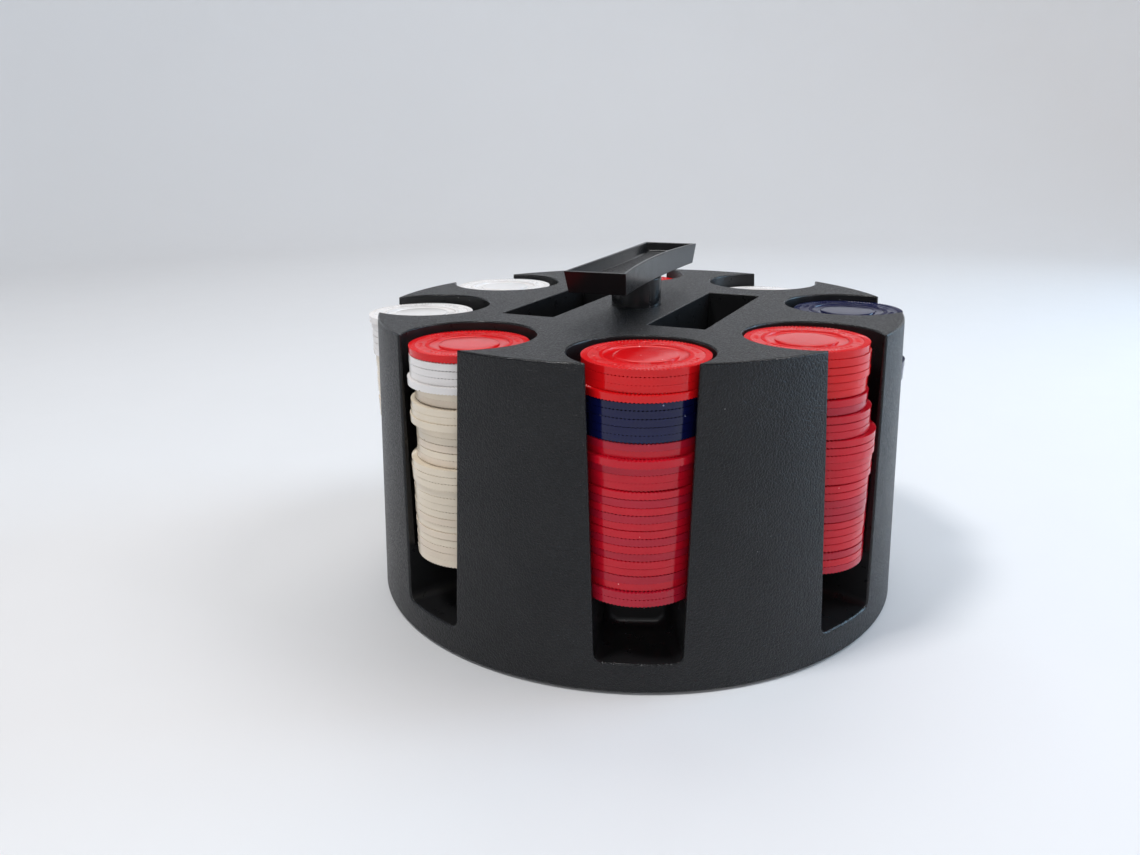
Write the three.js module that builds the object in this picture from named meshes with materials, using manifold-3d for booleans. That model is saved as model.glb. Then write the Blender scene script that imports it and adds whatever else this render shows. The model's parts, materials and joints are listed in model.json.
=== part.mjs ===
// Revolving poker chip carousel: a moulded drum with eight chip wells and two card
// pockets turns on a flat base, round a spindle that carries a tray-shaped handle.
// Millimetres, +Z up. The origin is on the table, on the drum's axis, and one chip
// well, the front one, looks along -Y.
import * as THREE from 'three';
import { mergeVertices } from 'three/addons/utils/BufferGeometryUtils.js';
import Module from 'manifold-3d';

const wasm = await Module();
wasm.setup();

// ---------------------------------------------------------------- driving dimensions
const chipDiameter = 38;            // every other size was scaled from the chips
const stackGap = 0.05;              // left between neighbouring runs of chips

const skirtClearance = 0.8;         // table to the drum's lower edge
const drumHeight = 100.3;
const drumTopRadius = 92.9;
const drumBottomRadius = 96.4;      // the outer wall leans out towards the table
const wall = 2.4;

const wellCount = 8;
const wellCircleRadius = 75.8;      // drum axis to well axis
const wellTopRadius = 21.6;
const wellBottomRadius = 20.9;
const wellWall = 2.2;
const shelfHeight = 28.3;           // chips rest here, measured from the drum's edge
const floorHeight = 9.6;            // floor of the finger notches and card pockets
const slotTopHalfWidth = 15.6;      // opening in the outer wall beside each stack
const slotBottomHalfWidth = 13.2;
const notchBackRadius = 72;         // drum axis to the back wall of a finger notch
const notchBackHalfWidth = 10.2;

const pocketLength = 68.4;          // a pack of cards stands in each pocket
const pocketWidth = 19.8;
const pocketOffset = 27;            // drum axis to the pocket's middle
const pocketAngle = 67.5;           // degrees from +X, midway between two wells

const spindleRadius = 9;
const bossOuterRadius = 14;
const bossBoreRadius = 11.6;
const deckBoreRadius = 9.6;

const handleAngle = 70.9;           // the handle stands a little off the pockets
const handleGap = 10.1;             // deck to the handle's underside
const handleHeight = 7.4;
const handleCrown = 0.7;            // the rim's rise at mid length
const handleTopHalfLength = 43.7;
const handleBottomHalfLength = 41.4;
const handleEndHalfWidth = 10.6;
const handleWaistHalfWidth = 8.5;
const handleBottomEndHalfWidth = 9.9;
const handleBottomWaistHalfWidth = 8.3;
const handleRim = 1.2;
const handleRecess = 3.4;

const basePlateRadius = 70;
const basePlateThickness = 2.6;
const footHeight = 2.4;
const footRadius = 7;
const footCircleRadius = 60;

// ---------------------------------------------------------------- levels on the Z axis
const floorZ = skirtClearance + floorHeight;
const shelfZ = skirtClearance + shelfHeight;
const deckZ = skirtClearance + drumHeight;
const handleZ = deckZ + handleGap;
const rimZ = handleZ + handleHeight;
const plateTopZ = footHeight + basePlateThickness;
const hubTopZ = plateTopZ + 1.6;
const undersideZ = floorZ - wellWall;
const contactGap = 0.05;

// ---------------------------------------------------------------- finishes
const finish = (color, roughness, metalness = 0) => ({ color, roughness, metalness });
const finishes = {
  drum: finish(0x1c1d20, 0.55),
  handle: finish(0x18191b, 0.35),
  spindle: finish(0x101113, 0.15),
  base: finish(0x17181a, 0.6),
  rubber: finish(0x111111, 0.9),
  nylon: finish(0xd8d4c8, 0.5),
  steel: finish(0xb8babd, 0.3, 1),
  red: finish(0xd5121e, 0.25),
  blue: finish(0x1a2258, 0.25),
  white: finish(0xebe8e2, 0.3),
};

// ---------------------------------------------------------------- shape helpers
const radians = THREE.MathUtils.degToRad;

// A solid of revolution about Z from [radius, z] points that start and end on the
// axis or close on themselves.
function turned(profile, segments) {
  const points = profile.map(([radius, z]) => new THREE.Vector2(radius, z));
  return new THREE.LatheGeometry(points, segments).rotateX(Math.PI / 2);
}

function cone(bottomRadius, topRadius, bottomZ, topZ, segments) {
  return turned([[0, bottomZ], [bottomRadius, bottomZ], [topRadius, topZ], [0, topZ]], segments);
}

function ring(innerRadius, outerRadius, bottomZ, topZ, segments) {
  const profile = [[innerRadius, bottomZ], [outerRadius, bottomZ], [outerRadius, topZ],
    [innerRadius, topZ], [innerRadius, bottomZ]];
  return turned(profile, segments);
}

// A closed solid through a list of loops with the same number of points, each seen
// anticlockwise from outside its first loop's far side; the ends are capped flat.
function loft(loops) {
  const count = loops[0].length;
  const positions = loops.flat().flatMap((point) => point.toArray());
  const index = [];
  for (let level = 0; level + 1 < loops.length; level += 1) {
    for (let i = 0; i < count; i += 1) {
      const next = (i + 1) % count;
      const [a, b] = [level * count + i, level * count + next];
      const [c, d] = [a + count, b + count];
      index.push(a, b, d, a, d, c);
    }
  }
  const cap = (loop) => {
    const outline = loop.map((point) => new THREE.Vector2(point.x, point.y));
    return THREE.ShapeUtils.triangulateShape(outline, []);
  };
  const last = (loops.length - 1) * count;
  cap(loops[0]).forEach(([a, b, c]) => index.push(a, c, b));
  cap(loops.at(-1)).forEach(([a, b, c]) => index.push(last + a, last + b, last + c));
  const geometry = new THREE.BufferGeometry();
  geometry.setAttribute('position', new THREE.Float32BufferAttribute(positions, 3));
  geometry.setIndex(index);
  return geometry;
}

// A prism whose four-sided section changes from its bottom to its top.
function taperedPrism(bottomCorners, topCorners, bottomZ, topZ) {
  const lift = (corners, z) => corners.map(([x, y]) => new THREE.Vector3(x, y, z));
  return loft([lift(bottomCorners, bottomZ), lift(topCorners, topZ)]);
}

function solid(geometry) {
  const bare = geometry.clone();
  bare.deleteAttribute('normal');
  bare.deleteAttribute('uv');
  const merged = mergeVertices(bare, 1e-4);
  return new wasm.Manifold(new wasm.Mesh({
    numProp: 3,
    vertProperties: new Float32Array(merged.attributes.position.array),
    triVerts: new Uint32Array(merged.index.array),
  }));
}

function surface(manifold) {
  const mesh = manifold.getMesh();
  const geometry = new THREE.BufferGeometry();
  geometry.setAttribute('position', new THREE.BufferAttribute(mesh.vertProperties, 3));
  geometry.setIndex(new THREE.BufferAttribute(mesh.triVerts, 1));
  return geometry;
}

function joined(manifolds) {
  return manifolds.reduce((sum, next) => sum.add(next));
}

// ---------------------------------------------------------------- drum
const wellAngle = (k) => radians(-90 + 360 / wellCount * k);

function aroundWells(makeGeometry) {
  const copies = [];
  for (let k = 0; k < wellCount; k += 1) {
    copies.push(solid(makeGeometry().rotateZ(wellAngle(k))));
  }
  return joined(copies);
}

// Half the width of the opening in the outer wall, which closes in towards the table.
function slotHalfWidth(z) {
  const rise = (z - floorZ) / (deckZ - floorZ);
  return slotBottomHalfWidth + (slotTopHalfWidth - slotBottomHalfWidth) * rise;
}

// The opening beside a stack, from its shelf up, drawn for a well on +X.
function slotCutter() {
  const inner = wellCircleRadius;
  const outer = drumBottomRadius + 5;
  const sectionAt = (z) => {
    const half = slotHalfWidth(z);
    return [[inner, -half], [outer, -half], [outer, half], [inner, half]];
  };
  return taperedPrism(sectionAt(shelfZ), sectionAt(deckZ + 2), shelfZ, deckZ + 2);
}

// The room for a finger under a stack, drawn for a well on +X and narrower inside.
// With a margin it gives the outside of that moulding.
function notchBlock(margin, bottomZ, topZ) {
  const inner = notchBackRadius - margin;
  const outer = drumBottomRadius + (margin > 0 ? -wall : 5);
  const spread = (outer - notchBackRadius) / (drumBottomRadius - notchBackRadius);
  const sectionAt = (z) => {
    const half = notchBackHalfWidth + (slotHalfWidth(z) - notchBackHalfWidth) * spread;
    return [[inner, -notchBackHalfWidth - margin], [outer, -half - margin],
      [outer, half + margin], [inner, notchBackHalfWidth + margin]];
  };
  return taperedPrism(sectionAt(bottomZ), sectionAt(topZ), bottomZ, topZ);
}

function wellCone(margin, bottomZ, topZ) {
  const slope = (wellTopRadius - wellBottomRadius) / (deckZ - shelfZ);
  const radiusAt = (z) => wellBottomRadius + slope * (z - shelfZ) + margin;
  return cone(radiusAt(bottomZ), radiusAt(topZ), bottomZ, topZ, 40)
    .translate(wellCircleRadius, 0, 0);
}

function cardPocket(side, margin, bottomZ, topZ) {
  const box = new THREE.BoxGeometry(pocketLength + 2 * margin, pocketWidth + 2 * margin,
    topZ - bottomZ);
  return solid(box.translate(0, side * pocketOffset, (bottomZ + topZ) / 2)
    .rotateZ(radians(pocketAngle)));
}

function drumShell() {
  const segments = 96;
  const slope = (drumTopRadius - drumBottomRadius) / drumHeight;
  const deckUnderside = deckZ - wall;
  const outside = solid(cone(drumBottomRadius, drumTopRadius, skirtClearance, deckZ, segments));
  const hollowTop = drumTopRadius - wall - slope * wall;
  const hollowBottom = drumBottomRadius - wall - slope;
  const hollow = solid(cone(hollowBottom, hollowTop, skirtClearance - 1, deckUnderside, segments));
  const mouldings = joined([
    aroundWells(() => wellCone(wellWall, shelfZ - wellWall, deckUnderside + 1)),
    aroundWells(() => notchBlock(wellWall, undersideZ, shelfZ)),
    cardPocket(1, wellWall, undersideZ, deckUnderside + 1),
    cardPocket(-1, wellWall, undersideZ, deckUnderside + 1),
    solid(cone(bossOuterRadius, bossOuterRadius, undersideZ + 1, deckUnderside + 1, 48)),
  ]);
  const openings = joined([
    aroundWells(() => wellCone(0, shelfZ, deckZ + 2)),
    aroundWells(slotCutter),
    aroundWells(() => notchBlock(0, floorZ, shelfZ + 0.01)),
    cardPocket(1, 0, floorZ, deckZ + 2),
    cardPocket(-1, 0, floorZ, deckZ + 2),
    solid(cone(bossBoreRadius, bossBoreRadius, skirtClearance, deckUnderside - 1, 48)),
    solid(cone(deckBoreRadius, deckBoreRadius, skirtClearance, deckZ + 2, 48)),
  ]);
  return outside.subtract(hollow.subtract(mouldings)).subtract(openings);
}

// One well's share of the drum, cut out by planes half way to its neighbours.
function drumSegment(shell, k) {
  const reach = 1.5 * drumBottomRadius;
  const corner = (turn) => {
    const angle = wellAngle(k) + radians(180 / wellCount * turn);
    return [reach * Math.cos(angle), reach * Math.sin(angle)];
  };
  const corners = [[0, 0], corner(-1), corner(1)];
  return surface(shell.intersect(solid(taperedPrism(corners, corners, -1, deckZ + 1))));
}

// A flanged bush at the foot of the drum's boss, running on the spindle.
function lowerBush() {
  const inner = spindleRadius + 0.3;
  const flangeZ = hubTopZ + 1 + 3 * contactGap;
  const seatZ = undersideZ + 1 - contactGap;
  const profile = [[inner, flangeZ], [bossOuterRadius - 0.6, flangeZ], [bossOuterRadius - 0.6, seatZ],
    [bossBoreRadius - 0.3, seatZ], [bossBoreRadius - 0.3, seatZ + 12], [inner, seatZ + 12],
    [inner, flangeZ]];
  return turned(profile, 48);
}

// ---------------------------------------------------------------- base and spindle
const screwRadius = 2;
const screwTopZ = hubTopZ + 20;
const washerZ = 3.2;

// A disc with a raised hub under the spindle, a low track ring near its rim that
// steadies the drum, and a recess and hole for the screw.
function basePlate() {
  const trackTopZ = undersideZ - 0.8;
  const recessZ = washerZ + 0.9;
  const profile = [
    [screwRadius + 0.4, recessZ], [7, recessZ], [7, footHeight],
    [basePlateRadius, footHeight], [basePlateRadius, trackTopZ],
    [basePlateRadius - 4, trackTopZ], [basePlateRadius - 4, plateTopZ],
    [17, plateTopZ], [17, hubTopZ], [screwRadius + 0.4, hubTopZ], [screwRadius + 0.4, recessZ],
  ];
  return turned(profile, 72);
}

function foot() {
  const profile = [[0, 0], [footRadius - 1, 0], [footRadius, 0.6],
    [footRadius, footHeight - contactGap], [0, footHeight - contactGap]];
  return turned(profile, 24);
}

function spindle() {
  const holeRadius = screwRadius + 0.4;
  const shoulderZ = handleZ - contactGap;
  const spigotRadius = 5;
  const bottomZ = hubTopZ + contactGap;
  const profile = [
    [0, screwTopZ + 2], [holeRadius, screwTopZ + 2], [holeRadius, bottomZ],
    [spindleRadius, bottomZ], [spindleRadius, shoulderZ], [spigotRadius, shoulderZ],
    [spigotRadius, shoulderZ + 2.2], [0, shoulderZ + 2.2],
  ];
  return turned(profile, 48);
}

function baseScrew() {
  const headRadius = 4.2;
  const headTopZ = washerZ - contactGap;
  const profile = [[0, 1.2], [headRadius - 0.8, 1.2], [headRadius, 1.9], [headRadius, headTopZ],
    [screwRadius, headTopZ], [screwRadius, screwTopZ - 1.5], [0.6, screwTopZ], [0, screwTopZ]];
  return turned(profile, 24);
}

// ---------------------------------------------------------------- handle
// One level of the handle: straight ends and sides that draw in to a waist.
function handleLoop(halfLength, endHalfWidth, waistHalfWidth, heightAt) {
  const steps = 8;
  const loop = [];
  for (const side of [-1, 1]) {
    for (let i = 0; i <= steps; i += 1) {
      const along = -side * (2 * i / steps - 1);
      const halfWidth = waistHalfWidth + (endHalfWidth - waistHalfWidth) * along ** 2;
      loop.push(new THREE.Vector3(along * halfLength, side * halfWidth, heightAt(along)));
    }
  }
  return loop;
}

// A shallow open tray with flared ends and a socket below for the spindle's spigot.
function handleTray() {
  const level = (z) => () => z;
  const crowned = (along) => rimZ + handleCrown * (1 - along ** 2);
  const recessZ = rimZ - handleRecess;
  const tray = loft([
    handleLoop(handleBottomHalfLength, handleBottomEndHalfWidth, handleBottomWaistHalfWidth,
      level(handleZ)),
    handleLoop(handleTopHalfLength, handleEndHalfWidth, handleWaistHalfWidth, crowned),
    handleLoop(handleTopHalfLength - handleRim, handleEndHalfWidth - handleRim,
      handleWaistHalfWidth - handleRim, crowned),
    handleLoop(handleTopHalfLength - 2 * handleRim, handleEndHalfWidth - 1.5 * handleRim,
      handleWaistHalfWidth - 1.5 * handleRim, level(recessZ)),
  ]);
  const socket = cone(5.3, 5.3, handleZ - 1, handleZ + 2.6, 32);
  return surface(solid(tray).subtract(solid(socket)));
}

// ---------------------------------------------------------------- chips
// Each stack, from its top down, as runs of chips that lie on one axis: colour, number
// of chips, and the run's offset from the well's axis in X and Y. The pitch is from one
// chip to the next; it differs a little because the ribs mesh more or less deeply.
const stacks = [
  { name: 'front', pitch: 2.37, runs: [['red', 3, 1.65, 0.4], ['red', 1, 0.9, -0.9],
    ['blue', 5, 0.3, 0.3], ['red', 2, 0.4, 0.6], ['red', 1, 0.2, -1.1], ['red', 3, 0.1, 0.5],
    ['red', 13, 0, -0.2], ['red', 2, -0.2, -1.1]] },
  { name: 'front_right', pitch: 2.45, runs: [['red', 4, -1.8, -0.6], ['red', 2, -2.1, 0.2],
    ['red', 2, -1.9, -0.9], ['red', 3, -0.5, -1.1], ['red', 3, 1.5, -1.1], ['red', 3, 1.4, 0.1],
    ['red', 9, 0.9, -0.3], ['red', 3, 1.0, -0.6]] },
  { name: 'right', pitch: 2.405, runs: [['blue', 7, 1.1, 1.4], ['blue', 3, 3.0, 0.3],
    ['blue', 3, 2.6, 0.2], ['blue', 1, 1.6, 0], ['blue', 15, 1.0, 0.2]] },
  { name: 'rear_right', pitch: 2.4, runs: [['white', 2, -0.6, -0.9], ['white', 9, 0.5, 0.4],
    ['white', 17, 0.1, -0.3]] },
  { name: 'rear', pitch: 2.37, runs: [['red', 2, 0.8, -0.7], ['red', 27, -0.1, 0.5]] },
  { name: 'rear_left', pitch: 2.355, runs: [['white', 2, -1.0, -1.0], ['white', 28, -0.1, 0.3]] },
  { name: 'left', pitch: 2.38, runs: [['white', 1, -3.7, 0], ['white', 5, -3.1, 0.2],
    ['white', 10, -2.3, -0.1], ['white', 13, -0.9, 0]] },
  { name: 'front_left', pitch: 2.39, runs: [['red', 1, 0.2, 0], ['white', 3, 0.2, 0.3],
    ['white', 1, -0.5, -0.7], ['white', 2, 1.6, 0.8], ['white', 2, 0, -0.4],
    ['white', 1, -0.3, -0.8], ['white', 5, 1.1, 0.8], ['white', 3, -0.7, -0.8],
    ['white', 11, -0.5, -0.1]] },
];

function chipRun(count, pitch) {
  const height = count * pitch - stackGap;
  return cone(chipDiameter / 2, chipDiameter / 2, 0, height, 36);
}

// ---------------------------------------------------------------- assembly
const carousel = new THREE.Group();

function addPart(name, geometry, look, position = [0, 0, 0]) {
  const mesh = new THREE.Mesh(geometry, new THREE.MeshStandardMaterial(finishes[look]));
  mesh.name = name;
  mesh.position.set(...position);
  carousel.add(mesh);
  return mesh;
}

function addStack(stack, k) {
  const total = stack.runs.reduce((sum, [, count]) => sum + count, 0);
  let z = shelfZ + stackGap + total * stack.pitch;
  stack.runs.forEach(([colour, count, x, y], i) => {
    z -= count * stack.pitch;
    const centreX = wellCircleRadius * Math.cos(wellAngle(k)) + x;
    const centreY = wellCircleRadius * Math.sin(wellAngle(k)) + y;
    const run = chipRun(count, stack.pitch);
    addPart(`chips_${stack.name}_${i + 1}`, run, colour, [centreX, centreY, z]);
  });
}

addPart('base_plate', basePlate(), 'base');
for (let i = 0; i < 4; i += 1) {
  const angle = radians(45 + 90 * i);
  const place = [footCircleRadius * Math.cos(angle), footCircleRadius * Math.sin(angle), 0];
  addPart(`foot_${i + 1}`, foot(), 'rubber', place);
}
addPart('spindle', spindle(), 'spindle');
addPart('base_screw', baseScrew(), 'steel');
addPart('base_screw_washer', ring(screwRadius + 0.3, 6, washerZ, washerZ + 0.8, 32), 'steel');
addPart('thrust_washer', ring(spindleRadius + 0.4, 16, hubTopZ + contactGap,
  hubTopZ + contactGap + 1, 48), 'nylon');
addPart('handle_tray', handleTray(), 'handle').rotation.z = radians(handleAngle);
addPart('lower_bush', lowerBush(), 'nylon');
const shell = drumShell();
stacks.forEach(({ name }, k) => addPart(`drum_${name}`, drumSegment(shell, k), 'drum'));
stacks.forEach(addStack);

export default carousel;
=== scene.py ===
"""Looks for the revolving poker chip carousel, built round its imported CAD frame.

Shapes are drawn in millimetres and scaled to metres where a mesh is made.
"""

import json
import math
import random

import bmesh
import bpy
import numpy as np
from mathutils import Matrix, Vector


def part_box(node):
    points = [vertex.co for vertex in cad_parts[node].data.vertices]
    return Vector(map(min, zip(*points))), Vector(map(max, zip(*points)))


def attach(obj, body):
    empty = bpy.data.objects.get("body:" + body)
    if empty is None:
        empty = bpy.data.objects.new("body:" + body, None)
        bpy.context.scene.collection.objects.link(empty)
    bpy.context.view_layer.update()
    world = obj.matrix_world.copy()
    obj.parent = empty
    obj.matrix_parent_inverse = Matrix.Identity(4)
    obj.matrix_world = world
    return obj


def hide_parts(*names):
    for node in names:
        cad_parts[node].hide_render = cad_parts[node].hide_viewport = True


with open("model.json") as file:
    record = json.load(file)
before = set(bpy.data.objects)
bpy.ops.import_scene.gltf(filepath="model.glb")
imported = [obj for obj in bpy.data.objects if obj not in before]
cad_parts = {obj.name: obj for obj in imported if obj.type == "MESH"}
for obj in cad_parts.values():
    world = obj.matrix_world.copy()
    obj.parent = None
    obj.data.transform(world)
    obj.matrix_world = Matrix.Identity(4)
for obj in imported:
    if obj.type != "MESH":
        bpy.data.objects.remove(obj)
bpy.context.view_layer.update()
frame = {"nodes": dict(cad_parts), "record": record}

MM = 0.001

# ---------------------------------------------------------------- sizes from the frame


def span(*nodes):
    """Lowest and highest corner round CAD nodes, in millimetres."""
    corners = [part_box(node) for node in nodes]
    low = [min(box[0][axis] for box in corners) for axis in range(3)]
    high = [max(box[1][axis] for box in corners) for axis in range(3)]
    return Vector(low) / MM, Vector(high) / MM


drum_nodes = [node for node in frame["record"]["behaviour"]["bodies"]["drum"]
              if node.startswith("drum_")]
drum_low, drum_high = span(*drum_nodes)
spindle_low, spindle_high = span("spindle")
handle_low, _ = span("handle_tray")
plate_low, plate_high = span("base_plate")

SKIRT_Z = drum_low.z
DECK_Z = drum_high.z
DRUM_BOTTOM_RADIUS = drum_high.x
SPINDLE_RADIUS = spindle_high.x
PLATE_RADIUS = plate_high.x

# ---------------------------------------------------------------- sizes of the design
DRUM_TOP_RADIUS = 92.9
WALL = 2.4
EDGE_ROUND = 0.8

WELLS = 8
WELL_CIRCLE = 75.8
WELL_TOP_RADIUS = 21.6
WELL_BOTTOM_RADIUS = 20.9
WELL_WALL = 2.2
SHELF_Z = SKIRT_Z + 28.3
FLOOR_Z = SKIRT_Z + 9.6
UNDERSIDE_Z = FLOOR_Z - WELL_WALL
SLOT_TOP_HALF = 15.6
SLOT_BOTTOM_HALF = 13.2
SLOT_ROUND = 0.9
NOTCH_BACK_RADIUS = 72.0
NOTCH_BACK_HALF = 10.2
NOTCH_CORNER = 2.5
NOTCH_BACK_ROUND = 2.6

POCKET_LENGTH = 68.4
POCKET_WIDTH = 19.8
POCKET_OFFSET = 27.0
POCKET_ANGLE = 67.5

BOSS_RADIUS = 14.0
BOSS_BORE = 11.6
DECK_BORE = 9.1

HANDLE_ANGLE = 70.9
HANDLE_CROWN = 0.7
HANDLE_HEIGHT = 7.4
HANDLE_RIM = 1.2
HANDLE_RECESS = 3.4

CHIP_PITCH = 2.4
RUN_GAP = 0.05
CHIP_RADIUS = 19.0
CHIP_TEETH = 100
# How far a stack's top chip has slid along X, where it has.
TOP_CHIP_SLIDE = {"stack_front_right": -0.5}

# ---------------------------------------------------------------- mesh helpers


def new_object(name, mesh):
    obj = bpy.data.objects.new(name, mesh)
    bpy.context.scene.collection.objects.link(obj)
    return obj


def mesh_of(name, points, faces):
    """A mesh from points in millimetres."""
    mesh = bpy.data.meshes.new(name)
    scaled = np.asarray(points, dtype=float) * MM
    mesh.from_pydata(scaled.tolist(), [], faces)
    mesh.validate()
    return mesh


def smooth(mesh, sharp_degrees=35):
    mesh.shade_smooth()
    mesh.set_sharp_from_angle(angle=math.radians(sharp_degrees))


def arc(centre_r, centre_z, radius, start, end, steps=5):
    """Points of a profile's rounding, angles in degrees from +radius towards +Z."""
    turns = [math.radians(start + (end - start) * i / steps) for i in range(steps + 1)]
    return [(centre_r + radius * math.cos(t), centre_z + radius * math.sin(t)) for t in turns]


def lathe(profile, segments):
    """Points and faces of a solid of revolution about Z. A profile point on the axis
    becomes a pole; a profile that stays off it is closed into a ring."""
    poles = [profile[0][0] < 1e-6, profile[-1][0] < 1e-6]
    body = profile[int(poles[0]):len(profile) - int(poles[1])]
    turns = np.linspace(0, 2 * math.pi, segments, endpoint=False)
    points = [(r * math.cos(t), r * math.sin(t), z) for r, z in body for t in turns]
    faces = []
    levels = len(body)
    last = levels if not any(poles) else levels - 1
    for level in range(last):
        low, high = level * segments, (level + 1) % levels * segments
        for i in range(segments):
            j = (i + 1) % segments
            faces.append((low + i, low + j, high + j, high + i))
    for pole, level, flip in ((0, 0, True), (-1, levels - 1, False)):
        if not poles[pole]:
            continue
        centre = len(points)
        points.append((0, 0, profile[pole][1]))
        base = level * segments
        for i in range(segments):
            a, b = base + i, base + (i + 1) % segments
            faces.append((centre, b, a) if flip else (centre, a, b))
    return points, faces


def loft(loops):
    """Points and faces of a solid through loops of equally many points, capped flat."""
    count = len(loops[0])
    points = [p for loop in loops for p in loop]
    faces = []
    for level in range(len(loops) - 1):
        low, high = level * count, (level + 1) * count
        for i in range(count):
            j = (i + 1) % count
            faces.append((low + i, low + j, high + j, high + i))
    faces.append(tuple(reversed(range(count))))
    faces.append(tuple(range(len(points) - count, len(points))))
    return points, faces


def combined(parts):
    """Several (points, faces) pairs as one pair."""
    points, faces = [], []
    for part_points, part_faces in parts:
        offset = len(points)
        points.extend(part_points)
        faces.extend(tuple(i + offset for i in face) for face in part_faces)
    return points, faces


def turned(part, degrees, axis="Z"):
    turn = np.array(Matrix.Rotation(math.radians(degrees), 3, axis))
    return (np.asarray(part[0]) @ turn.T).tolist(), part[1]


def flattened(part, share):
    return (np.asarray(part[0]) * (1, 1, share)).tolist(), part[1]


def moved(part, x, y, z=0):
    return (np.asarray(part[0]) + (x, y, z)).tolist(), part[1]


def solid(name, part):
    """An object from (points, faces), its faces turned outward."""
    mesh = mesh_of(name, *part)
    work = bmesh.new()
    work.from_mesh(mesh)
    bmesh.ops.recalc_face_normals(work, faces=work.faces)
    work.to_mesh(mesh)
    work.free()
    return new_object(name, mesh)


def cut(target, tool, operation="DIFFERENCE"):
    """Applies a boolean to target and removes the tool."""
    change = target.modifiers.new("cut", "BOOLEAN")
    change.operation = operation
    change.solver = "MANIFOLD"
    change.object = tool
    graph = bpy.context.evaluated_depsgraph_get()
    result = bpy.data.meshes.new_from_object(target.evaluated_get(graph))
    target.modifiers.remove(change)
    target.data = result
    bpy.data.objects.remove(tool)
    return target


# ---------------------------------------------------------------- drum


def drum_radius(z):
    share = (z - SKIRT_Z) / (DECK_Z - SKIRT_Z)
    return DRUM_BOTTOM_RADIUS + (DRUM_TOP_RADIUS - DRUM_BOTTOM_RADIUS) * share


def well_radius(z):
    share = (z - SHELF_Z) / (DECK_Z - SHELF_Z)
    return WELL_BOTTOM_RADIUS + (WELL_TOP_RADIUS - WELL_BOTTOM_RADIUS) * share


def slot_half(z):
    share = (z - FLOOR_Z) / (DECK_Z - FLOOR_Z)
    return SLOT_BOTTOM_HALF + (SLOT_TOP_HALF - SLOT_BOTTOM_HALF) * share


def around_wells(part):
    """Copies of a shape drawn for a well on +X, one for each well."""
    return combined(turned(part, -90 + 360 / WELLS * k) for k in range(WELLS))


def drum_outside():
    foot_round = 0.5
    profile = [(0, SKIRT_Z)]
    profile += arc(DRUM_BOTTOM_RADIUS - foot_round, SKIRT_Z + foot_round, foot_round, -90, 0, 4)
    profile += [(drum_radius(z), z) for z in np.linspace(SKIRT_Z + 2, DECK_Z - 2, 12)]
    profile += arc(DRUM_TOP_RADIUS - EDGE_ROUND, DECK_Z - EDGE_ROUND, EDGE_ROUND, 0, 90, 5)
    profile += [(0, DECK_Z)]
    return lathe(profile, 288)


def drum_hollow():
    top = DECK_Z - WALL
    profile = [(0, SKIRT_Z - 1), (drum_radius(SKIRT_Z - 1) - WALL, SKIRT_Z - 1),
               (drum_radius(top) - WALL, top), (0, top)]
    return lathe(profile, 288)


def well_room(margin=0.0):
    """The room inside a well, or with a margin the outside of its wall."""
    if margin:
        low, high = SHELF_Z - margin, DECK_Z - WALL + 1
        profile = [(0, low), (well_radius(low) + margin, low),
                   (well_radius(high) + margin, high), (0, high)]
    else:
        foot, lip = 1.0, 0.7
        low = well_radius(SHELF_Z)
        profile = [(0, SHELF_Z)] + arc(low - foot, SHELF_Z + foot, foot, -90, 0, 4)
        profile += [(well_radius(z), z) for z in np.linspace(SHELF_Z + 3, DECK_Z - 3, 6)]
        profile += arc(WELL_TOP_RADIUS + lip, DECK_Z - lip, lip, 180, 90, 5)
        profile += [(WELL_TOP_RADIUS + lip, DECK_Z + 2), (0, DECK_Z + 2)]
    return moved(lathe(profile, 144), WELL_CIRCLE, 0)


def slot_outline(low, high, half_at, corner, grow, corner_steps=6):
    """The opening seen from outside as (across, z) points: down one side, along the
    bottom and up the other. grow moves the sides and bottom outward."""
    side_steps, floor_steps = 8, 6
    radius = corner + grow
    foot = low - grow
    turn_z = foot + radius
    half = half_at(turn_z) + grow
    right = [(half, turn_z)]
    for i in range(1, corner_steps + 1):
        t = math.pi / 2 * i / corner_steps
        right.append((half - radius + radius * math.cos(t), turn_z - radius * math.sin(t)))
    side = [(half_at(z) + grow, z) for z in np.linspace(high, turn_z, side_steps, endpoint=False)]
    right = side + right
    left = [(-x, z) for x, z in reversed(right)]
    inner = right[-1][0]
    floor = [(inner - 2 * inner * i / floor_steps, foot) for i in range(1, floor_steps)]
    return right + floor + left


def opening(low, high, corner, inner_sections):
    """A cutter through the drum's outer wall that leaves rounded outer edges, for a
    well on +X. inner_sections are the loops further in, innermost first."""
    def on_wall(across, z, depth):
        outside = math.sqrt(drum_radius(z) ** 2 - across ** 2)
        return (outside - depth, across, z)

    steps = 5
    loops = list(inner_sections)
    for i in range(steps + 1):
        t = math.pi / 2 * i / steps
        grow = SLOT_ROUND * (1 - math.cos(t))
        depth = SLOT_ROUND * (1 - math.sin(t))
        outline = slot_outline(low, high, slot_half, corner, grow if corner else 0)
        if not corner:
            outline = [(x + math.copysign(grow, x), z) for x, z in outline]
        loops.append([on_wall(x, z, depth) for x, z in outline])
    loops.append([(DRUM_BOTTOM_RADIUS + 4, y, z) for _, y, z in loops[-1]])
    return loft(loops)


def slot_cutter():
    """The upper part of the opening, from the shelf to above the deck."""
    inner = [(WELL_CIRCLE + 9, x, z) for x, z in
             slot_outline(SHELF_Z, DECK_Z + 2, slot_half, 0, 0)]
    return opening(SHELF_Z, DECK_Z + 2, 0, [inner])


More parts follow.
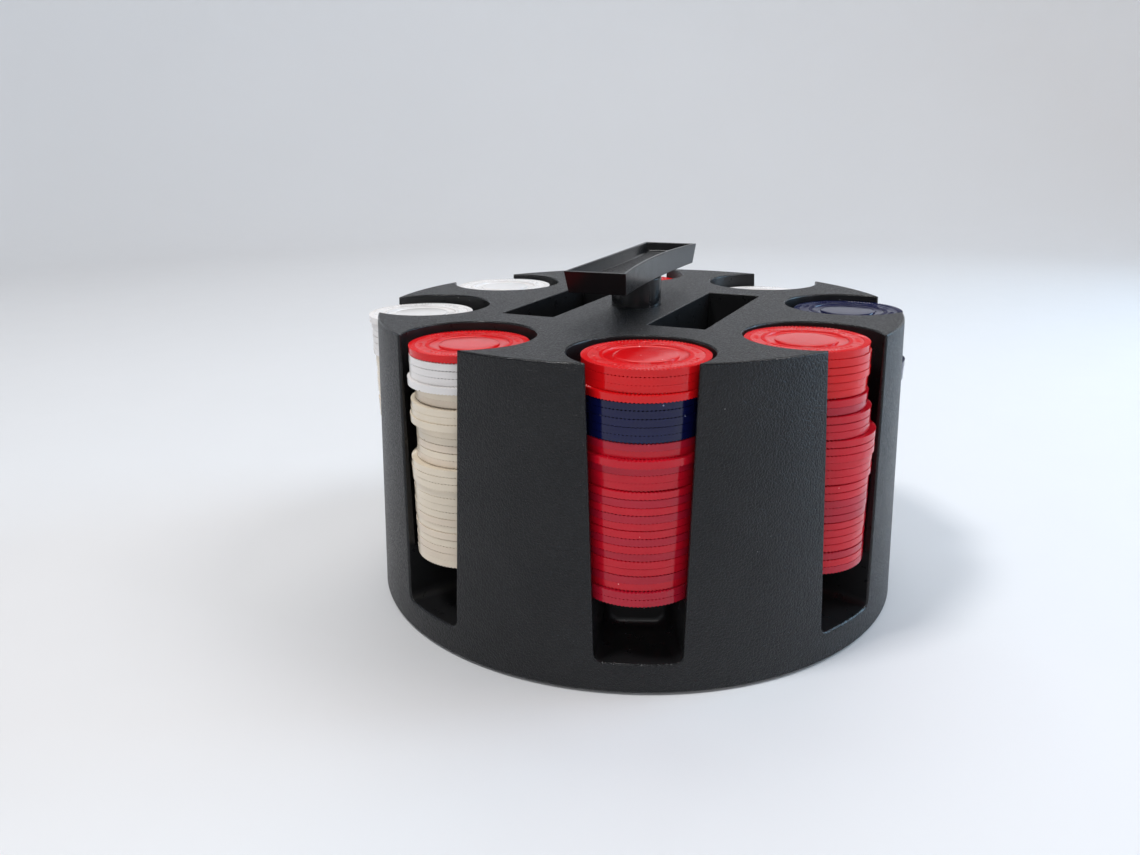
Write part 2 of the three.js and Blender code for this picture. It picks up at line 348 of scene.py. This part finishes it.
def notch_cutter():
    """The finger notch under the shelf, with rounded inner edges."""
    top = SHELF_Z + 0.01
    back_share = NOTCH_BACK_HALF / slot_half(FLOOR_Z)
    sections = []
    steps = 6
    for i in range(steps + 1):
        t = math.pi / 2 * i / steps
        inset = NOTCH_BACK_ROUND * (1 - math.sin(t))
        depth = NOTCH_BACK_ROUND * (1 - math.cos(t))
        outline = slot_outline(FLOOR_Z, top, lambda z: slot_half(z) * back_share,
                               NOTCH_CORNER + NOTCH_BACK_ROUND, -inset)
        sections.append([(NOTCH_BACK_RADIUS + depth, x, z) for x, z in outline])
    return opening(FLOOR_Z, top, NOTCH_CORNER, sections)


def notch_block():
    """The outside of the notch's moulding, inside the drum."""
    def section(z):
        inner = NOTCH_BACK_RADIUS - WELL_WALL
        outer = DRUM_BOTTOM_RADIUS - WALL
        near, far = NOTCH_BACK_HALF + WELL_WALL, slot_half(z) + WELL_WALL
        return [(inner, -near, z), (outer, -far, z), (outer, far, z), (inner, near, z)]
    return loft([section(UNDERSIDE_Z), section(SHELF_Z)])


def pockets(margin, low, high, corner=0.4):
    """Both card pockets, or with a margin the outsides of their walls."""
    half_x, half_y = POCKET_LENGTH / 2 + margin, POCKET_WIDTH / 2 + margin
    outline = []
    for sx, sy, start in ((1, -1, -90), (1, 1, 0), (-1, 1, 90), (-1, -1, 180)):
        outline += arc(sx * (half_x - corner), sy * (half_y - corner), corner,
                       start, start + 90, 3)
    lip = 0.35
    levels = [(low, 0.0)]
    if margin == 0:
        for i in range(4):
            t = math.pi / 2 * i / 3
            levels.append((high - lip + lip * math.sin(t), lip * (1 - math.cos(t))))
        levels.append((high + 2, lip))
    else:
        levels.append((high, 0.0))
    loops = []
    for z, grow in levels:
        ring = [(x * (1 + grow / half_x), y * (1 + grow / half_y), z) for x, y in outline]
        loops.append(ring)
    both = [turned(moved(loft(loops), 0, side * POCKET_OFFSET), POCKET_ANGLE)
            for side in (1, -1)]
    return combined(both)


def boss_bore():
    step = DECK_Z - WALL - 1
    profile = [(0, SKIRT_Z), (BOSS_BORE, SKIRT_Z), (BOSS_BORE, step), (DECK_BORE, step),
               (DECK_BORE, DECK_Z + 2), (0, DECK_Z + 2)]
    return lathe(profile, 128)


def surface_of(centre, normal):
    """Which part of the drum a face is on: 0 the grained deck or outer wall, 1 the smooth
    inside, 2 the outside's rounded edges, which wear has polished."""
    reach = math.hypot(centre.x, centre.y)
    outward = (centre.x * normal.x + centre.y * normal.y) / max(reach, 1)
    on_deck = centre.z > DECK_Z - EDGE_ROUND and normal.z > 0.4
    on_wall = reach > drum_radius(centre.z) - SLOT_ROUND and outward > 0.25
    if not (on_deck or on_wall):
        return 1
    unrounded = 0.97
    return 0 if normal.z > unrounded or outward > unrounded else 2


def make_drum():
    drum = solid("drum", drum_outside())
    under = DECK_Z - WALL + 1
    hollow = solid("hollow", drum_hollow())
    cut(hollow, solid("well_walls", around_wells(well_room(WELL_WALL))))
    cut(hollow, solid("notch_walls", around_wells(notch_block())))
    cut(hollow, solid("pocket_walls", pockets(WELL_WALL, UNDERSIDE_Z, under, 1.5)))
    boss = [(0, UNDERSIDE_Z + 1), (BOSS_RADIUS, UNDERSIDE_Z + 1), (BOSS_RADIUS, under), (0, under)]
    cut(hollow, solid("boss", lathe(boss, 128)))
    cut(drum, hollow)
    cut(drum, solid("well_rooms", around_wells(well_room())))
    cut(drum, solid("slots", around_wells(slot_cutter())))
    cut(drum, solid("notches", around_wells(notch_cutter())))
    cut(drum, solid("pocket_rooms", pockets(0, FLOOR_Z, DECK_Z)))
    cut(drum, solid("bore", boss_bore()))
    drum.data.materials.clear()
    drum.data.materials.append(leather_grain_plastic())
    drum.data.materials.append(smooth_black_plastic("well_plastic", 0.3, dust_share=0.06))
    drum.data.materials.append(leather_grain_plastic("worn_edge_plastic", 0.00004, 0.10, 0.24))
    for face in drum.data.polygons:
        face.material_index = surface_of(face.center / MM, face.normal)
    smooth(drum.data, 32)
    weighted = drum.modifiers.new("weighted_normals", "WEIGHTED_NORMAL")
    weighted.keep_sharp = True
    return drum


# ---------------------------------------------------------------- handle and spindle


def handle_outline(half_length, end_half, waist_half, steps=28):
    """Straight ends, and sides that draw in to a waist: (along, across) points."""
    side = []
    for i in range(steps + 1):
        u = 1 - 2 * i / steps
        side.append((u * half_length, waist_half + (end_half - waist_half) * u * u))
    return side + [(-x, -y) for x, y in side]


def make_handle():
    bottom_z = handle_low.z
    rim_z = bottom_z + HANDLE_HEIGHT
    top_half, bottom_half = 43.7, 41.4
    top_end, top_waist = 10.6, 8.5
    bottom_end, bottom_waist = 9.9, 8.3

    def loop(inset, share, height, crown):
        """share 0 is the underside's outline and 1 the rim's."""
        half = bottom_half + (top_half - bottom_half) * share - inset
        end = bottom_end + (top_end - bottom_end) * share - inset
        waist = bottom_waist + (top_waist - bottom_waist) * share - inset
        outline = handle_outline(half, end, waist)
        return [(x, y, height + crown * (1 - (x / half) ** 2)) for x, y in outline]

    recess_z = rim_z - HANDLE_RECESS
    loops = [
        loop(0, 0, bottom_z, 0),
        loop(0, 1, rim_z, HANDLE_CROWN),
        loop(HANDLE_RIM, 1, rim_z, HANDLE_CROWN),
        loop(HANDLE_RIM * 1.6, 1, recess_z + 0.5, 0),
        loop(HANDLE_RIM * 1.9, 1, recess_z + 0.12, 0),
        loop(HANDLE_RIM * 2.4, 1, recess_z, 0),
    ]
    count = len(loops[0])
    points, faces = loft(loops)
    faces = faces[:-2]
    half = count // 2
    for start, flip in ((0, True), (len(points) - count, False)):
        for i in range(half - 1):
            a, b = start + i, start + i + 1
            c, d = start + count - 2 - i, start + count - 1 - i
            faces.append((a, d, c, b) if flip else (a, b, c, d))
    handle = solid("handle", turned((points, faces), HANDLE_ANGLE))
    handle.data.materials.append(smooth_black_plastic("handle_plastic", 0.2, shine=0.24))
    handle.data.materials.append(leather_grain_plastic())
    for face in handle.data.polygons:
        in_recess = face.center.z / MM < recess_z + 0.05 and face.normal.z > 0.9
        face.material_index = 1 if in_recess else 0
    handle.data.shade_smooth()
    rounding = handle.modifiers.new("rounding", "BEVEL")
    rounding.width = 0.25 * MM
    rounding.segments = 3
    rounding.limit_method = "ANGLE"
    rounding.angle_limit = math.radians(40)
    rounding.harden_normals = True
    return handle


def make_spindle():
    shoulder = handle_low.z - 0.05
    edge = 0.3
    profile = [(0, spindle_low.z)] + arc(SPINDLE_RADIUS - edge, spindle_low.z + edge, edge, -90, 0)
    profile += arc(SPINDLE_RADIUS - edge, shoulder - edge, edge, 0, 90)
    profile += [(5, shoulder), (5, spindle_high.z), (0, spindle_high.z)]
    spindle = solid("spindle_column", lathe(profile, 128))
    spindle.data.materials.append(smooth_black_plastic("polished_black_plastic", 0.14, shine=0.4))
    smooth(spindle.data, 40)
    return spindle


# ---------------------------------------------------------------- base


def make_base_plate():
    low, high = plate_low.z, plate_high.z
    disc_top = low + 2.6
    hub_top = disc_top + 1.6
    hub_radius, track_width, edge = 17, 4, 0.5
    recess_radius, screw_hole, recess_z = 7.0, 2.4, 4.1
    profile = [(screw_hole, recess_z), (recess_radius, recess_z), (recess_radius, low)]
    profile += arc(PLATE_RADIUS - edge, low + edge, edge, -90, 0, 4)
    profile += arc(PLATE_RADIUS - edge, high - edge, edge, 0, 90, 4)
    profile += arc(PLATE_RADIUS - track_width + edge, high - edge, edge, 90, 180, 4)
    profile += [(PLATE_RADIUS - track_width, disc_top), (hub_radius, disc_top)]
    profile += arc(hub_radius - edge, hub_top - edge, edge, 0, 90, 4)
    profile += [(screw_hole, hub_top)]
    plate = solid("turntable_base", lathe(profile, 192))
    plate.data.materials.append(smooth_black_plastic("base_black_plastic", 0.45))
    smooth(plate.data, 40)
    return plate


def make_foot(node, number):
    low, high = span(node)
    centre = (low + high) / 2
    radius = (high.x - low.x) / 2
    edge = 0.7
    profile = [(0, 0.15), (radius - 3, 0.15), (radius - 2.4, 0)]
    profile += arc(radius - edge, edge, edge, -90, 0, 5)
    profile += [(radius, high.z - 0.2), (radius - 0.2, high.z), (0, high.z)]
    foot = solid(f"rubber_foot_{number}", moved(lathe(profile, 64), centre.x, centre.y))
    foot.data.materials.append(rubber())
    smooth(foot.data, 40)
    return foot


def make_screw():
    low, high = span("base_screw")
    head_radius = high.x
    head_top, shank = 3.15, 2.0
    profile = [(0, low.z), (head_radius - 1.6, low.z)]
    profile += arc(head_radius - 1.4, low.z + 1.4, 1.4, -70, 0, 5)
    profile += [(head_radius, head_top), (shank, head_top)]
    thread_pitch, thread_depth, tip = 1.25, 0.35, 2.5
    z = head_top + 1
    while z < high.z - tip:
        profile += [(shank, z), (shank - thread_depth, z + thread_pitch / 2)]
        z += thread_pitch
    profile += [(shank, high.z - 1.5), (0.6, high.z), (0, high.z)]
    screw = solid("base_fixing_screw", lathe(profile, 48))
    arm, thickness = 2.3, 0.55
    for turn in (0, 90):
        bar = loft([[(-arm, -thickness, z), (arm, -thickness, z), (arm, thickness, z),
                     (-arm, thickness, z)] for z in (low.z - 1, low.z + 1)])
        cut(screw, solid("bar", turned(bar, turn)))
    screw.data.materials.clear()
    screw.data.materials.append(plated_steel())
    smooth(screw.data, 35)
    return screw


# ---------------------------------------------------------------- chips


def chip_profile(full):
    """Half of a chip's section, from its axis to its rim, as (radius, height, tooth)
    above the chip's middle plane; tooth is how far a tooth stands up there."""
    outer_teeth = [(17.0, 1.03, 0), (17.12, 1.04, 0.22), (18.9, 1.04, 0.22),
                   (CHIP_RADIUS, 1.0, 0.23)]
    if not full:
        return [(0, 1.04, 0)] + outer_teeth
    centre_disc = [(0, 1.08, 0), (4, 1.07, 0), (8.6, 1.03, 0), (9.3, 0.99, 0), (9.5, 0.88, 0)]
    dish = [(9.65, 0.38, 0), (10.2, 0.34, 0), (12.0, 0.48, 0), (12.45, 0.68, 0)]
    inner_teeth = [(12.6, 1.0, 0.05), (12.75, 1.04, 0.17), (13.7, 1.04, 0.17), (13.85, 1.03, 0)]
    return centre_disc + dish + inner_teeth + outer_teeth


def chip_shape(full):
    """Points and faces of one chip, centred, with its ribbed edges. A face's material
    is 1 on the matt ring between the two rings of teeth."""
    profile = chip_profile(full)
    per_tooth = 4 if full else 2
    count = CHIP_TEETH * per_tooth
    turns = np.linspace(0, 2 * math.pi, count, endpoint=False)
    tall = (np.arange(count) % per_tooth) < per_tooth / 2
    levels = [(r, -(z + tooth * tall)) for r, z, tooth in profile[1:]]
    levels += [(r, z + tooth * tall) for r, z, tooth in reversed(profile[1:])]
    rings = [np.column_stack([r * np.cos(turns), r * np.sin(turns), z]) for r, z in levels]
    middle = profile[0][1]
    points = np.concatenate(rings + [np.array([[0, 0, -middle], [0, 0, middle]])])
    faces = []
    for level in range(len(levels) - 1):
        low, high = level * count, (level + 1) * count
        faces += [(low + i, low + (i + 1) % count, high + (i + 1) % count, high + i)
                  for i in range(count)]
    bottom, top = len(points) - 2, len(points) - 1
    last = (len(levels) - 1) * count
    faces += [(bottom, (i + 1) % count, i) for i in range(count)]
    faces += [(top, last + i, last + (i + 1) % count) for i in range(count)]
    reach = np.hypot(points[:, 0], points[:, 1])
    ring_start, ring_end, margin = 13.8, 16.95, 0.15
    matt = [ring_start < min(reach[list(face)]) < ring_end
            and max(reach[list(face)]) < ring_end + margin for face in faces]
    return points, faces, matt


def stud(radius, turn, length, width, height, base):
    """A small raised lozenge on a chip's face."""
    corners = [(length, 0), (0, width), (-length, 0), (0, -width)]
    outer = [(radius + x, y, base) for x, y in corners]
    crest = [(radius + 0.45 * x, 0.45 * y, base + height) for x, y in corners]
    return turned(loft([outer, crest]), math.degrees(turn))


def chip_studs():
    """A generic ring of raised lozenges, in groups, on both faces of a chip."""
    upper = []
    groups, radius, base = 8, 15.3, 1.0
    for g in range(groups):
        for shift, size in ((-0.13, 0.8), (0.0, 1.15), (0.13, 0.8)):
            turn = 2 * math.pi * g / groups + shift
            upper.append(stud(radius, turn, size, 0.42 * size, 0.22, base))
    top = combined(upper)
    points = np.asarray(top[0]) * (1, 1, -1)
    bottom = (points.tolist(), [tuple(reversed(face)) for face in top[1]])
    return combined([top, bottom])


def run_size(node_name):
    """A run's CAD box: its centre, its lowest point, its number of chips and their pitch."""
    low, high = span(node_name)
    height = high.z - low.z + RUN_GAP
    count = round(height / CHIP_PITCH)
    return (low + high) / 2, low.z, count, height / count


def age_of(above, run_length):
    """Which of a chip's three ages it shows: the chips low in a stack are the old ones."""
    new_chips, long_run = 5, 20
    if above < new_chips and run_length < long_run:
        return 0
    return random.choice((1, 1, 2))


def slips(count):
    """Sideways shifts of a run's chips. A long run has slipped a little in groups."""
    long_run, group_reach, group_chance, chip_reach = 14, 0.55, 0.35, 0.12
    reach = group_reach if count > long_run else 0
    shifts = []
    group = (0, 0)
    for _ in range(count):
        if random.random() < group_chance:
            group = (random.uniform(-reach, reach), random.uniform(-reach, reach))
        shifts.append([random.uniform(-chip_reach, chip_reach) + part for part in group])
    return shifts


def make_chips():
    """One object for each run of chips. A run's end chips have full faces; the faces
    between two chips can't be seen, so the others are plain there."""
    shapes = {full: chip_shape(full) for full in (True, False)}
    studs = chip_studs()
    slots = {s["node"]: s["material_slot"] for s in frame["record"]["subparts"]}
    bodies = frame["record"]["behaviour"]["bodies"]
    polished, matt = 0.13, 0.3
    looks = {slot: [chip_plastic(slot, age, finish) for age in range(3)
                    for finish in (polished, matt)] for slot in CHIP_COLOURS}
    seat, play, lean = 0.13, 0.05, 0.12
    random.seed(7)
    for body, nodes in bodies.items():
        if not body.startswith("stack_"):
            continue
        above = 0
        for node in nodes:
            centre, low, count, pitch = run_size(node)
            parts, look_index = [], []
            for i, (shift_x, shift_y) in enumerate(slips(count)):
                full = i in (0, count - 1)
                if above == 0 and i == count - 1:
                    shift_x += TOP_CHIP_SLIDE.get(body, 0)
                turn, tilt = random.uniform(0, 360), random.uniform(-lean, lean)
                # The lowest chip of a run stands on its teeth; the others' teeth mesh.
                least, most = (-play, play if i < count - 1 else 0) if i else (seat, seat)
                lift = random.uniform(least, most)
                z = low + (i + 0.5) * pitch - RUN_GAP / 2 + lift
                age = age_of(above, count)
                points, faces, matt_faces = shapes[full]
                pieces = [(points, faces)] + ([studs] if full else [])
                all_matt = matt_faces + [True] * (len(studs[1]) if full else 0)
                look_index += [2 * age + int(is_matt) for is_matt in all_matt]
                thickness = random.uniform(0.93, 1.02)
                for piece in pieces:
                    chip = turned(turned(flattened(piece, thickness), tilt, "X"), turn)
                    parts.append(moved(chip, centre.x + shift_x, centre.y + shift_y, z))
            above += count
            run = new_object(f"ribbed_{node}", mesh_of(f"ribbed_{node}", *combined(parts)))
            for finish in looks[slots[node]]:
                run.data.materials.append(finish)
            run.data.polygons.foreach_set("material_index", look_index)
            smooth(run.data, 30)
            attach(run, body)
            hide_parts(node)


# ---------------------------------------------------------------- materials


class Nodes:
    """Short calls for building a node material."""

    def __init__(self, name):
        self.material = bpy.data.materials.new(name)
        self.material.use_nodes = True
        self.tree = self.material.node_tree
        self.shader = self.tree.nodes["Principled BSDF"]
        self.place = self.add("ShaderNodeTexCoord").outputs["Object"]

    def add(self, kind, **inputs):
        node = self.tree.nodes.new(kind)
        for key, value in inputs.items():
            self.feed(node, key.replace("_", " "), value)
        return node

    def feed(self, node, key, value):
        socket = node.inputs[key]
        if isinstance(value, bpy.types.NodeSocket):
            self.tree.links.new(value, socket)
        else:
            socket.default_value = value

    def noise(self, scale, detail=3.0, roughness=0.5):
        node = self.add("ShaderNodeTexNoise", Vector=self.place, Scale=scale, Detail=detail,
                        Roughness=roughness)
        return node.outputs["Fac"]

    def cells(self, scale, feature="F1"):
        node = self.tree.nodes.new("ShaderNodeTexVoronoi")
        node.feature = feature
        self.feed(node, "Vector", self.place)
        self.feed(node, "Scale", scale)
        return node

    def specks(self, scale, size, share):
        """1 in small dots: size is a dot's radius in cells, share how many cells have one."""
        cells = self.cells(scale)
        split = self.add("ShaderNodeSeparateColor", Color=cells.outputs["Color"])
        near = self.remap(cells.outputs["Distance"], size * 0.6, size, 1.0, 0.0)
        chosen = self.maths("GREATER_THAN", split.outputs["Red"], 1 - share)
        return self.maths("MULTIPLY", near, chosen)

    def remap(self, value, low, high, to_low, to_high):
        node = self.tree.nodes.new("ShaderNodeMapRange")
        self.feed(node, "Value", value)
        self.feed(node, "From Min", low)
        self.feed(node, "From Max", high)
        self.feed(node, "To Min", to_low)
        self.feed(node, "To Max", to_high)
        return node.outputs["Result"]

    def maths(self, operation, a, b):
        node = self.tree.nodes.new("ShaderNodeMath")
        node.operation = operation
        self.feed(node, 0, a)
        self.feed(node, 1, b)
        return node.outputs[0]

    def blend_colours(self, share, a, b):
        node = self.tree.nodes.new("ShaderNodeMix")
        node.data_type = "RGBA"
        self.feed(node, "Factor", share)
        for index, value in ((6, a), (7, b)):
            self.feed(node, index, value)
        return node.outputs[2]

    def bump(self, height, distance, strength=1.0):
        node = self.add("ShaderNodeBump", Height=height, Distance=distance, Strength=strength)
        self.feed(self.shader, "Normal", node.outputs["Normal"])

    def set(self, **values):
        for key, value in values.items():
            self.feed(self.shader, key.replace("_", " "), value)


def leather_grain_plastic(name="leather_grain_plastic", depth=0.00011, gloss=0.27, matt=0.49):
    """Black plastic moulded with a fine pebbled leather grain, with a little dust. Its
    roughness varies from gloss to matt."""
    n = Nodes(name)
    creases = n.cells(1080, "DISTANCE_TO_EDGE").outputs["Distance"]
    folds = n.cells(520, "DISTANCE_TO_EDGE").outputs["Distance"]
    fine = n.noise(1500, 4)
    pebbles = n.maths("ADD", n.remap(creases, 0.0, 0.22, 0.0, 1.0),
                      n.remap(folds, 0.0, 0.12, 0.0, 0.7))
    n.bump(n.maths("ADD", pebbles, n.maths("MULTIPLY", fine, 1.8)), depth, 1.0)
    tone = n.remap(n.noise(60, 4), 0.3, 0.7, 0.0, 1.0)
    plastic = n.blend_colours(tone, (0.007, 0.0075, 0.009, 1), (0.011, 0.0115, 0.013, 1))
    dust = n.specks(260, 0.05, 0.05)
    n.set(Base_Color=n.blend_colours(dust, plastic, (0.22, 0.22, 0.23, 1)),
          Roughness=n.remap(fine, 0.3, 0.7, gloss, matt), Specular_IOR_Level=0.34)
    return n.material


def smooth_black_plastic(name, roughness, shine=0.34, dust_share=0.0):
    """Smooth moulded black plastic with faint handling marks, and dust if it has a share."""
    n = Nodes(name)
    marks = n.noise(220, 5, 0.65)
    tone = n.noise(35, 3)
    n.bump(n.noise(700, 2), 0.000005, 0.5)
    colour = n.blend_colours(tone, (0.008, 0.008, 0.0085, 1), (0.014, 0.014, 0.015, 1))
    if dust_share:
        colour = n.blend_colours(n.specks(420, 0.12, dust_share), colour, (0.16, 0.16, 0.16, 1))
    n.set(Base_Color=colour,
          Roughness=n.remap(marks, 0.3, 0.7, roughness * 0.85, roughness * 1.2),
          Specular_IOR_Level=shine)
    return n.material


def rubber():
    n = Nodes("foot_rubber")
    n.bump(n.noise(1500, 3), 0.00004, 0.6)
    n.set(Base_Color=n.blend_colours(n.noise(90), (0.012, 0.012, 0.012, 1),
                                     (0.022, 0.021, 0.02, 1)),
          Roughness=n.remap(n.noise(300), 0.3, 0.7, 0.8, 0.95))
    return n.material


def nylon():
    n = Nodes("bearing_nylon")
    n.bump(n.noise(700, 3), 0.00002, 0.5)
    n.set(Base_Color=n.blend_colours(n.noise(80), (0.66, 0.63, 0.55, 1), (0.76, 0.74, 0.68, 1)),
          Roughness=n.remap(n.noise(250), 0.3, 0.7, 0.4, 0.6))
    return n.material


def plated_steel():
    n = Nodes("plated_steel")
    n.bump(n.noise(1800, 4), 0.00001, 0.4)
    n.set(Base_Color=n.blend_colours(n.noise(400), (0.50, 0.51, 0.52, 1), (0.66, 0.66, 0.65, 1)),
          Metallic=1.0, Roughness=n.remap(n.noise(600), 0.3, 0.7, 0.25, 0.42))
    return n.material


# Each colour of chip when fresh, aged and worn, and the colour of its nicks.
CHIP_COLOURS = {
    "chip_red": ((0.71, 0.006, 0.009), (0.58, 0.006, 0.020), (0.46, 0.009, 0.028),
                 (0.95, 0.42, 0.42)),
    "chip_blue": ((0.004, 0.006, 0.050), (0.005, 0.009, 0.062), (0.004, 0.009, 0.055),
                  (0.25, 0.28, 0.45)),
    "chip_white": ((0.83, 0.80, 0.785), (0.77, 0.675, 0.54), (0.75, 0.64, 0.515),
                   (0.45, 0.36, 0.25)),
}


def chip_plastic(slot, age, roughness):
    """Moulded plastic of one age, with small nicks from knocks."""
    n = Nodes(f"{slot}_{('fresh', 'aged', 'worn')[age]}_{roughness}")
    middle = CHIP_COLOURS[slot][age]
    nick_colour = CHIP_COLOURS[slot][3]
    dark = tuple(0.93 * c for c in middle) + (1,)
    light = tuple(1.05 * c for c in middle) + (1,)
    body = n.blend_colours(n.remap(n.noise(70, 3), 0.3, 0.7, 0.0, 1.0), dark, light)
    nicks = n.specks(330, 0.11, 0.05)
    n.set(Base_Color=n.blend_colours(nicks, body, nick_colour + (1,)),
          Roughness=n.remap(n.noise(200, 4), 0.35, 0.7, 0.75 * roughness, 1.3 * roughness),
          Specular_IOR_Level=0.36)
    n.bump(n.maths("SUBTRACT", n.noise(160, 2), nicks), 0.000008, 0.5)
    return n.material


# ---------------------------------------------------------------- assembly
drum = make_drum()
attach(drum, "drum")
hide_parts(*drum_nodes)

handle = make_handle()
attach(handle, "base")
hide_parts("handle_tray")

spindle = make_spindle()
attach(spindle, "base")
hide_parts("spindle")

base_plate = make_base_plate()
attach(base_plate, "base")
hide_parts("base_plate")

for number in range(1, 5):
    foot = make_foot(f"foot_{number}", number)
    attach(foot, "base")
    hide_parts(f"foot_{number}")

screw = make_screw()
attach(screw, "base")
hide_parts("base_screw")

make_chips()

for node, look in (("base_screw_washer", plated_steel), ("thrust_washer", nylon),
                   ("lower_bush", nylon)):
    kept = frame["nodes"][node]
    material = look()
    kept.data.materials.clear()
    kept.data.materials.append(material)

# ---------------------------------------------------------------- stage, light, camera


def make_stage():
    """A pale round floor that curves up into a wall all round. Far in front of the drum the floor
    turns dark grey: painted shade, which the drum reflects.
    """
    floor_radius, bend, height, segments = 1100, 500, 1050, 128
    profile = [(0, 0)] + [(r, 0) for r in np.linspace(200, floor_radius, 6)]
    profile += arc(floor_radius, bend, bend, -90, 0, 16)[1:]
    profile += [(floor_radius + bend, height)]
    points, faces = lathe(profile + [(floor_radius + bend + 1, height)], segments)
    stage = new_object("studio_floor", mesh_of("studio_floor", points, faces))
    stage.data.shade_smooth()
    n = Nodes("pale_card")
    along = n.add("ShaderNodeSeparateXYZ", Vector=n.place).outputs["Y"]
    pale = n.blend_colours(n.noise(3, 4), (0.80, 0.80, 0.81, 1), (0.84, 0.84, 0.85, 1))
    # Painted shade: far in front of the drum the floor is painted dark grey, for the drum's front
    # and the chips to reflect.
    front = n.remap(along, -1.6, -0.6, 1.0, 0.0)
    n.set(Base_Color=n.blend_colours(front, pale, (0.30, 0.30, 0.31, 1)),
          Roughness=n.remap(n.noise(40), 0.3, 0.7, 0.55, 0.7))
    stage.data.materials.append(n.material)


def area_light(name, place, aim, width, height, power, colour=(1, 1, 1)):
    light = bpy.data.lights.new(name, "AREA")
    light.shape = "RECTANGLE"
    light.size = width
    light.size_y = height
    light.energy = power
    light.color = colour
    lamp = new_object(name, light)
    lamp.location = place
    lamp.rotation_euler = (Vector(aim) - Vector(place)).to_track_quat("-Z", "Y").to_euler()


def make_camera():
    """The photograph's view: a little above the deck, looking down on the front well."""
    pitch, roll, heading = math.radians(17.687), math.radians(-0.6), math.radians(3.08)
    forward = Vector((-math.sin(heading) * math.cos(pitch), math.cos(heading) * math.cos(pitch),
                      -math.sin(pitch)))
    right = Vector((math.cos(heading), math.sin(heading), 0))
    up = right.cross(forward)
    tilted_right = right * math.cos(roll) + up * math.sin(roll)
    tilted_up = up * math.cos(roll) - right * math.sin(roll)
    eye = Vector((-6.65, -336.3, 160.9)) * MM
    data = bpy.data.cameras.new("camera")
    data.sensor_width = 36
    data.lens = 29.143
    data.clip_start = 0.01
    camera = new_object("camera", data)
    camera.matrix_world = Matrix((
        (tilted_right.x, tilted_up.x, -forward.x, eye.x),
        (tilted_right.y, tilted_up.y, -forward.y, eye.y),
        (tilted_right.z, tilted_up.z, -forward.z, eye.z),
        (0, 0, 0, 1)))
    bpy.context.scene.camera = camera


make_stage()
area_light("window", (0.95, 0.25, 0.40), (0, 0, 0.06), 0.45, 0.6, 4.6, (0.42, 0.72, 1.0))
area_light("strip", (0.90, -0.42, 0.32), (0, 0, 0.06), 0.035, 0.3, 0.6, (0.90, 0.88, 1.0))
area_light("right", (0.75, 0.0, 1.0), (0, 0, 0.05), 0.45, 0.45, 3.5, (0.98, 0.97, 1.0))
area_light("left", (-0.45, -0.3, 1.25), (0, 0, 0.05), 0.22, 0.22, 7.5)
area_light("overhead", (0.1, 0.8, 1.3), (0, 0.35, 0.05), 1.0, 1.0, 5.8)
area_light("front", (-0.1, -1.1, 0.65), (0, 0, 0.05), 0.8, 0.5, 2.1)

world = bpy.data.worlds.new("studio")
world.use_nodes = True
world.node_tree.nodes["Background"].inputs["Color"].default_value = (0.93, 0.95, 1.0, 1)
world.node_tree.nodes["Background"].inputs["Strength"].default_value = 0.18
bpy.context.scene.world = world
bpy.context.scene.view_settings.view_transform = "Standard"

make_camera()
